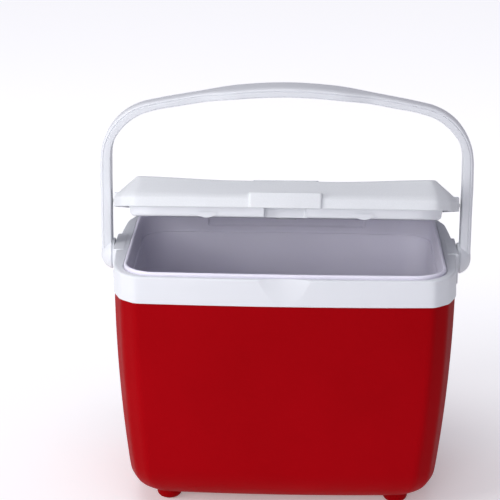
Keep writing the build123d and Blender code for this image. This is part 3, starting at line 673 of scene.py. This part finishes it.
pairs = []
for x in np.linspace(0, 118, 64):
    pairs.append((np.array([x, np.interp(x, outer_c[:, 0], outer_c[:, 1])]), np.array([x, np.interp(x, inner_c[:, 0], inner_c[:, 1])])))
for ang in np.linspace(math.pi / 2, 0, 46)[1:-1]:
    pairs.append((hit(outer_c, (118, 98), ang), hit(inner_c, (118, 98), ang)))
low_o, low_i = outer_c[::-1], inner_c[::-1]
for z in np.linspace(98, 6.5, 40):
    ko, ki = outer_c[:, 0] > 140, inner_c[:, 0] > 140
    pairs.append((np.array([np.interp(z, outer_c[ko][::-1, 1], outer_c[ko][::-1, 0]), z]), np.array([np.interp(z, inner_c[ki][::-1, 1], inner_c[ki][::-1, 0]), z])))


def depth_at(x):
    x = abs(x)
    k = min(1.0, max(0.0, (x - 47.0) / (85.0 - 47.0)))
    return 16.6 - 6.6 * (k * k * (3 - 2 * k))


def section(o, i):
    """Cross-section ring between inner point i and outer point o, seen along the handle."""
    T = float(np.linalg.norm(o - i))
    D = depth_at((o[0] + i[0]) / 2)
    grip = (D - 10.0) / 6.6
    line = (0.66 - 0.04 * grip) * T
    half = [(0.0, 0.0), (0.0, D * 0.5), (0.0, D - 1.3)]
    half += [(1.3 * (1 - math.cos(k)), D - 1.3 + 1.3 * math.sin(k)) for k in np.linspace(0.15, math.pi / 2, 6)]
    half += [(line - 1.2, D), (line - 0.5, D), (line - 0.25, D - 0.2), (line - 0.1, D - 0.95), (line + 0.45, D - 1.0), (line + 0.62, D - 0.55)]
    ra, rb = T - line - 0.95, 5.2 + 1.8 * grip
    half += [(line + 0.95 + ra * math.sin(k), D - 0.4 - rb * (1 - math.cos(k))) for k in np.linspace(0.0, math.pi / 2, 11)]
    half += [(T, (D - rb) * 0.5), (T, 0.0)]
    pts = half + [(a, -b) for a, b in half[-2:0:-1]]
    d = (o - i) / T
    return np.array([(i[0] + d[0] * a, -b, i[1] + d[1] * a) for a, b in pts])


right = [section(o, i) for o, i in pairs]
left = [r * np.array([-1, 1, 1]) for r in right[1:]]
rings = left[::-1] + right
n = len(rings[0])
verts = np.vstack(rings) + np.array([0, 0, Z_PIVOT])
faces = []
for k in range(len(rings) - 1):
    a, b = k * n, (k + 1) * n
    faces += [(a + j, a + (j + 1) % n, b + (j + 1) % n, b + j) for j in range(n)]
faces.append(tuple(range(n)))
faces.append(tuple(range((len(rings) - 1) * n, len(rings) * n))[::-1])
handle = make("handle_body", verts, faces, TO_TUB)
fix_normals(handle)
for sx in (-1, 1):
    c = arc3((10.9, 0), (7.9, 10.6), (0.5, HUB_R), 0.5)
    prof = [(171.7 - ARM_IN, 0.0), (171.7 - ARM_IN, 5.05), (PAD_X + 0.35 - ARM_IN, 5.05), (PAD_X + 0.35 - ARM_IN, 14.0), (0.0, 14.2),
            (0.0, HUB_R - 0.5), (0.15, HUB_R - 0.1)] + [tuple(q) for q in c[::-1][:-1]] + [(10.9, 0.0)]
    hub = lathe("hub", prof, (sx * ARM_IN, 0, Z_PIVOT), (sx, 0, 0), 96, TO_TUB)
    boolean(handle, hub, "UNION")
clean(handle)
shade(handle, 34)

# ---------------------------------------------------------------------------
# materials
# ---------------------------------------------------------------------------
class Nodes:
    """Small helper for building a procedural material."""

    def __init__(self, name):
        self.mat = bpy.data.materials.new(name)
        self.mat.use_nodes = True
        self.t = self.mat.node_tree
        self.bsdf = self.t.nodes["Principled BSDF"]
        tc = self.t.nodes.new("ShaderNodeTexCoord")
        self.obj = tc.outputs["Object"]

    def noise(self, scale, detail=4.0, rough=0.55, dist=0.0):
        n = self.t.nodes.new("ShaderNodeTexNoise")
        n.inputs["Scale"].default_value = scale
        n.inputs["Detail"].default_value = detail
        n.inputs["Roughness"].default_value = rough
        n.inputs["Distortion"].default_value = dist
        self.t.links.new(self.obj, n.inputs["Vector"])
        return n.outputs["Fac"]

    def cells(self, scale, smooth=0.3):
        n = self.t.nodes.new("ShaderNodeTexVoronoi")
        n.feature = "SMOOTH_F1"
        n.inputs["Scale"].default_value = scale
        n.inputs["Smoothness"].default_value = smooth
        self.t.links.new(self.obj, n.inputs["Vector"])
        return n.outputs["Distance"]

    def ramp(self, fac, stops):
        n = self.t.nodes.new("ShaderNodeValToRGB")
        els = n.color_ramp.elements
        while len(els) < len(stops):
            els.new(0.5)
        for e, (pos, col) in zip(els, stops):
            e.position = pos
            e.color = (*col, 1.0) if not isinstance(col, float) else (col, col, col, 1.0)
        self.t.links.new(fac, n.inputs["Fac"])
        return n.outputs["Color"]

    def mix(self, fac, a, b, blend="MIX"):
        n = self.t.nodes.new("ShaderNodeMix")
        n.data_type = "RGBA"
        n.blend_type = blend
        if isinstance(fac, float):
            n.inputs[0].default_value = fac
        else:
            self.t.links.new(fac, n.inputs[0])
        for sock, v in ((n.inputs[6], a), (n.inputs[7], b)):
            if isinstance(v, tuple):
                sock.default_value = (*v, 1.0)
            else:
                self.t.links.new(v, sock)
        return n.outputs[2]

    def bump(self, height, strength, distance, normal=None):
        n = self.t.nodes.new("ShaderNodeBump")
        n.inputs["Strength"].default_value = strength
        n.inputs["Distance"].default_value = distance
        self.t.links.new(height, n.inputs["Height"])
        if normal is not None:
            self.t.links.new(normal, n.inputs["Normal"])
        return n.outputs["Normal"]

    def colour(self, v):
        if isinstance(v, tuple):
            self.bsdf.inputs["Base Color"].default_value = (*v, 1.0)
        else:
            self.t.links.new(v, self.bsdf.inputs["Base Color"])

    def rough(self, v):
        if isinstance(v, float):
            self.bsdf.inputs["Roughness"].default_value = v
        else:
            self.t.links.new(v, self.bsdf.inputs["Roughness"])

    def normal(self, v):
        self.t.links.new(v, self.bsdf.inputs["Normal"])

    def put(self, name, v):
        self.bsdf.inputs[name].default_value = v


def lin(r, g, b):
    """8-bit display colour to linear."""
    f = lambda c: ((c / 255.0 + 0.055) / 1.055) ** 2.4 if c > 10 else c / 255.0 / 12.92
    return (f(r), f(g), f(b))


def plastic(name, dark, light, rough0, rough1, grain_scale, grain_dist, ripple=0.00004, specks=None, sss=0.0, spec=0.35):
    m = Nodes(name)
    broad = m.ramp(m.noise(7.0, 3.0), [(0.32, dark), (0.68, light)])
    if specks is not None:
        fine = m.ramp(m.noise(specks[0], 2.0), [(0.30, (specks[1],) * 3), (0.70, (1.0, 1.0, 1.0))])
        broad = m.mix(1.0, broad, fine, "MULTIPLY")
    m.colour(broad)
    m.rough(m.ramp(m.noise(22.0, 5.0, 0.6), [(0.30, rough0), (0.70, rough1)]))
    wave = m.bump(m.noise(16.0, 2.0, 0.4), 0.6, ripple * 14)
    m.normal(m.bump(m.noise(grain_scale, 2.0, 0.6), 0.9, grain_dist, wave))
    m.put("IOR", 1.49)
    m.put("Specular IOR Level", spec)
    if sss:
        m.put("Subsurface Weight", sss)
        m.put("Subsurface Radius", (0.004, 0.0036, 0.0038))
        m.put("Subsurface Scale", 1.0)
    return m.mat


RED = plastic("red_polypropylene", (0.30, 0.0003, 0.0026), (0.335, 0.0004, 0.0034), 0.42, 0.52, 1500.0, 0.00003, spec=0.025)
RED_FOOT = plastic("red_foot_rubber", (0.29, 0.0004, 0.0025), (0.31, 0.0005, 0.003), 0.44, 0.54, 1700.0, 0.00003, spec=0.025)
WHITE = plastic("white_polypropylene", lin(217, 220, 224), lin(222, 224, 228), 0.38, 0.48, 1800.0, 0.00002, sss=0.05)
GRAINED = plastic("white_grained_lid", lin(217, 220, 223), lin(223, 226, 228), 0.50, 0.62, 1100.0, 0.00011, specks=(900.0, 0.955), sss=0.04)
LINER = plastic("white_liner", lin(232, 229, 243), lin(236, 234, 246), 0.34, 0.44, 1600.0, 0.00002, sss=0.05)
STUD = plastic("stud_acetal", lin(214, 215, 220), lin(222, 223, 227), 0.30, 0.40, 1500.0, 0.00002)


def foam_material():
    m = Nodes("cream_foam")
    bead = m.cells(420.0)
    m.colour(m.ramp(bead, [(0.1, lin(206, 190, 150)), (0.8, lin(232, 220, 186))]))
    m.rough(0.92)
    m.normal(m.bump(bead, 0.8, 0.0006))
    return m.mat


FOAM = foam_material()


def paint(o, mat):
    o.data.materials.clear()
    o.data.materials.append(mat)


paint(shell, RED)
for f, _ in feet:
    paint(f, RED_FOOT)
paint(collar, WHITE)
paint(liner, LINER)
paint(lid, GRAINED)
paint(pan, WHITE)
paint(handle, WHITE)
for node, mat in (("pivot_stud_left", STUD), ("pivot_stud_right", STUD), ("hinge_pin_left", STUD), ("hinge_pin_right", STUD),
                  ("body_foam", FOAM), ("lid_foam", FOAM), ("foam_fill_plug", RED), ("lid_fill_plug", WHITE)):
    paint(nodes[node], mat)
    shade(nodes[node], 30)

# ---------------------------------------------------------------------------
# which body each piece moves with, and which piece of the model it stands for
# ---------------------------------------------------------------------------
for o, body, node, slot in ((shell, "tub", "outer_shell", "red_shell"), (collar, "tub", "rim_collar", "white_plastic"),
                            (liner, "tub", "inner_liner", "white_liner"), (lid, "lid", "lid_shell", "white_grained"),
                            (pan, "lid", "lid_pan", "white_plastic"), (handle, "handle", "bail_handle", "white_plastic")):
    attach(o, body)
    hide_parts(node)
for f, node in feet:
    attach(f, "tub")
    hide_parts(node)

# ---------------------------------------------------------------------------
# stage, light, camera
# ---------------------------------------------------------------------------
me = bpy.data.meshes.new("stage_floor")
S = 14.0
me.from_pydata([(-S, -S, 0), (S, -S, 0), (S, S, 0), (-S, S, 0)], [], [(0, 1, 2, 3)])
floor = bpy.data.objects.new("stage_floor", me)
bpy.context.scene.collection.objects.link(floor)
fm = Nodes("pale_floor")
fm.colour((0.93, 0.93, 0.94))
fm.rough(0.9)
fm.put("Specular IOR Level", 0.1)
fm.put("Emission Color", (0.98, 0.98, 1.0, 1.0))
fm.put("Emission Strength", 1.0)
# the sweep behind the object glows softly, the part in front of it doesn't
sep = fm.t.nodes.new("ShaderNodeSeparateXYZ")
fm.t.links.new(fm.obj, sep.inputs[0])
far = fm.t.nodes.new("ShaderNodeMapRange")
far.inputs["From Min"].default_value = -0.35
far.inputs["From Max"].default_value = 0.9
fm.t.links.new(sep.outputs["Y"], far.inputs["Value"])
fm.t.links.new(fm.ramp(far.outputs["Result"], [(0.0, 0.12), (1.0, 0.62)]), fm.bsdf.inputs["Emission Color"])
me.materials.append(fm.mat)

world = bpy.data.worlds.new("studio")
world.use_nodes = True
bg = world.node_tree.nodes["Background"]
bg.inputs["Color"].default_value = (0.82, 0.80, 0.92, 1.0)
bg.inputs["Strength"].default_value = 0.42
# the room is a little darker on the right
wt = world.node_tree
wc = wt.nodes.new("ShaderNodeTexCoord")
wx = wt.nodes.new("ShaderNodeSeparateXYZ")
wr = wt.nodes.new("ShaderNodeValToRGB")
wm = wt.nodes.new("ShaderNodeMath")
wm.operation = "MULTIPLY_ADD"
wm.inputs[1].default_value = 0.5
wm.inputs[2].default_value = 0.5
wr.color_ramp.elements[0].color = (0.95, 0.93, 1.06, 1.0)
wr.color_ramp.elements[1].color = (0.42, 0.40, 0.50, 1.0)
wt.links.new(wc.outputs["Generated"], wx.inputs[0])
wt.links.new(wx.outputs["X"], wm.inputs[0])
wt.links.new(wm.outputs[0], wr.inputs["Fac"])
wt.links.new(wr.outputs["Color"], bg.inputs["Color"])
bpy.context.scene.world = world
bpy.context.scene.view_settings.view_transform = "Standard"


def lamp(name, at, look, size, power, colour=(1, 1, 1)):
    l = bpy.data.lights.new(name, "AREA")
    l.shape = "RECTANGLE"
    l.size, l.size_y = size
    l.energy = power
    l.color = colour
    o = bpy.data.objects.new(name, l)
    o.location = at
    o.rotation_euler = (Vector(look) - Vector(at)).to_track_quat("-Z", "Y").to_euler()
    bpy.context.scene.collection.objects.link(o)
    return o


lamp("key", (-1.20, -0.86, 0.66), (0, 0, 0.2), (0.6, 0.6), 8.6, (1.0, 0.99, 0.975))
lamp("fill", (-0.45, -2.25, 0.88), (0, 0, 0.2), (1.0, 0.7), 14.0, (0.97, 0.97, 1.0))
lamp("top", (-0.3, -0.6, 2.3), (0, 0, 0.2), (1.6, 1.2), 16.0)

cam_data = bpy.data.cameras.new("camera")
cam_data.sensor_width = 36.0
cam_data.lens = 137.52
cam_data.clip_end = 60.0
cam = bpy.data.objects.new("camera", cam_data)
r2 = Vector((0.99958, 0.02829, 0.00702)).normalized()
u2 = Vector((-0.01486, 0.28723, 0.95775))
u2 = (u2 - r2 * u2.dot(r2)).normalized()
b2 = r2.cross(u2)
at = Vector((0.01184, (DY - 1754.69) * MM, (Z_PIVOT + 531.07) * MM))
cam.matrix_world = Matrix(((r2.x, u2.x, b2.x, at.x), (r2.y, u2.y, b2.y, at.y), (r2.z, u2.z, b2.z, at.z), (0, 0, 0, 1)))
bpy.context.scene.collection.objects.link(cam)
bpy.context.scene.camera = cam
